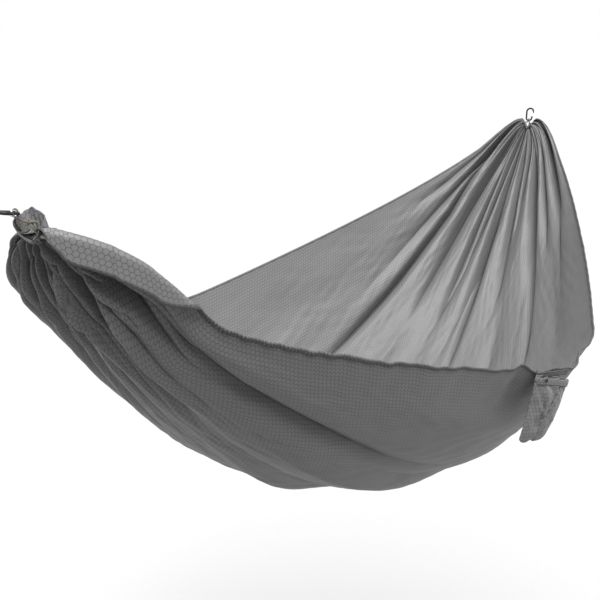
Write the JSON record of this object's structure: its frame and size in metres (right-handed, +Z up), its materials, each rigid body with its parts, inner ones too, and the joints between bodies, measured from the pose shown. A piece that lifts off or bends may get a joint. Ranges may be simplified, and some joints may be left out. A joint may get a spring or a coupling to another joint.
{
  "type": "camping hammock",
  "caption": "Light gathered-end camping hammock of honeycomb ripstop cloth, with cord loops, wire-gate carabiners and its own stuff sack sewn to one edge.",
  "frame": {"origin": "the middle of the foot carabiner's lower bend, inside the top of the foot cord loop, where the hammock is held", "axes": "+X along the hammock to the head end, +Z up, and the near edge with the stuff sack on -Y"},
  "size_m": [2.4427, 1.1224, 0.8491],
  "materials": {
    "ripstop_cloth": "satin",
    "hem_cloth": "matte",
    "thread": "matte",
    "cord": "matte",
    "black_alloy": "satin",
    "steel_wire": "polished"
  },
  "bodies": {
    "hammock": {"bed_fabric": "ripstop_cloth", "near_edge_hem": "hem_cloth", "far_edge_hem": "hem_cloth", "hem_bar_tacks": "thread", "foot_cord_loop": "cord", "foot_end_sleeve": "ripstop_cloth", "foot_loop_knot": "cord", "foot_end_reinforcement": "ripstop_cloth", "head_cord_loop": "cord", "head_end_sleeve": "ripstop_cloth", "head_loop_knot": "cord", "head_end_reinforcement": "ripstop_cloth"},
    "foot_carabiner": {"foot_carabiner_body": "black_alloy"},
    "foot_gate": {"foot_carabiner_gate": "steel_wire"},
    "head_carabiner": {"head_carabiner_body": "black_alloy"},
    "head_gate": {"head_carabiner_gate": "steel_wire"},
    "stuff_sack": {"sack_front_panel": "ripstop_cloth", "sack_back_panel": "ripstop_cloth", "sack_mouth_hem": "hem_cloth", "sack_tab": "hem_cloth", "sack_bar_tacks": "thread", "sack_eyelet": "black_alloy"}
  },
  "joints": [
    {"name": "foot_carabiner_swing", "type": "hinge", "parent": "hammock", "child": "foot_carabiner", "pos_m": [0, 0, 0], "axis": [0.2507, -0.967, -0.0458], "range_deg": [-140, 30]},
    {"name": "foot_gate_hinge", "type": "hinge", "parent": "foot_carabiner", "child": "foot_gate", "pos_m": [-0.00998, -0.0125, 0.00182], "axis": [-0.1796, 0, -0.9837], "range_deg": [0, 35], "stiffness_Nm_per_rad": 0.03, "springref_deg": -20.05},
    {"name": "head_carabiner_swing", "type": "hinge", "parent": "hammock", "child": "head_carabiner", "pos_m": [2.388, 0, -0.046], "axis": [0, -1, 0], "range_deg": [-110, 70]},
    {"name": "head_gate_hinge", "type": "hinge", "parent": "head_carabiner", "child": "head_gate", "pos_m": [2.39136, -0.0095, -0.03344], "axis": [-0.9659, 0, 0.2588], "range_deg": [0, 35], "stiffness_Nm_per_rad": 0.03, "springref_deg": -20.05},
    {"name": "sack_flap", "type": "hinge", "parent": "hammock", "child": "stuff_sack", "pos_m": [0.95851, -0.50486, -0.43544], "axis": [0.9347, -0.2924, -0.202], "range_deg": [-100, 12]}
  ]
}
